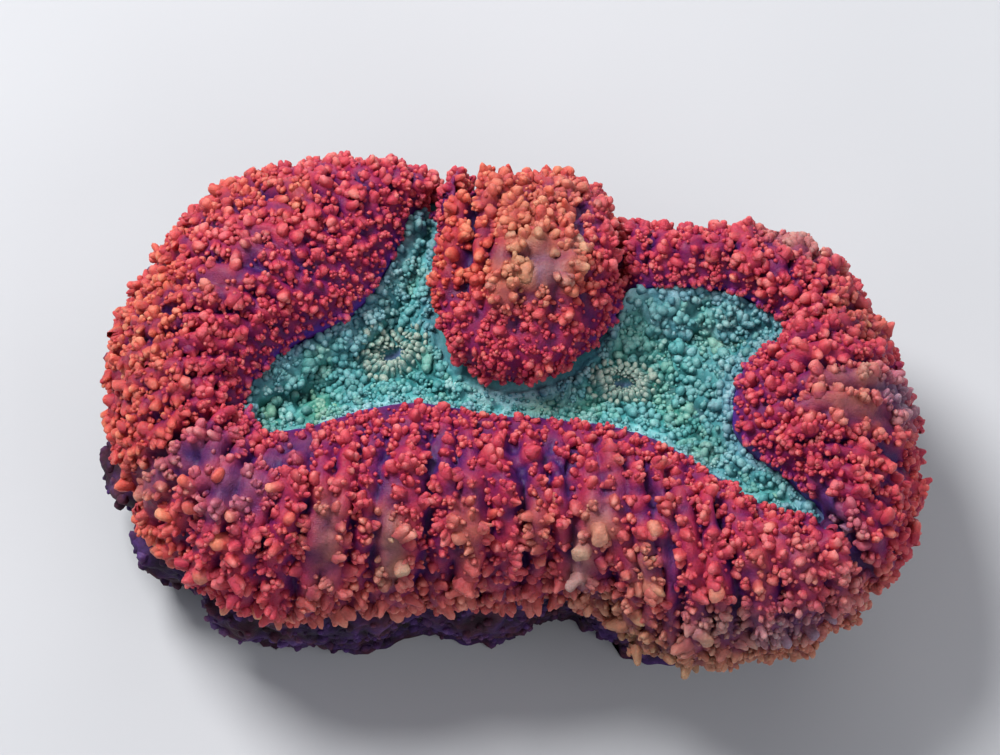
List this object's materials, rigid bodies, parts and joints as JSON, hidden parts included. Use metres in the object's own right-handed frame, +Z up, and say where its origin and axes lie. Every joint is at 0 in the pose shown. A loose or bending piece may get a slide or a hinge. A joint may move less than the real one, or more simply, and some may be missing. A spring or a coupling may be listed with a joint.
{
  "type": "brain coral",
  "caption": "Fleshy open brain coral: swollen, knobbly red lobes round a sunken teal disc with mouths, on a ribbed stony skeleton cut off flat underneath.",
  "frame": {"origin": "middle of the bounding box's foot, on the flat cut that the coral rests on", "axes": "+X along the coral's long side, to the right in the picture; +Y away from the camera; +Z up, out of the oral disc"},
  "size_m": [0.0796, 0.0502, 0.0337],
  "materials": {
    "coral_flesh": "wet, soft living tissue, glossy on the knobs",
    "coral_disc": "wet, soft beaded tissue",
    "coral_skeleton": "rough limy skeleton under a thin purple crust"
  },
  "bodies": {
    "root": {"brain_coral": "coral_flesh"}
  },
  "joints": []
}
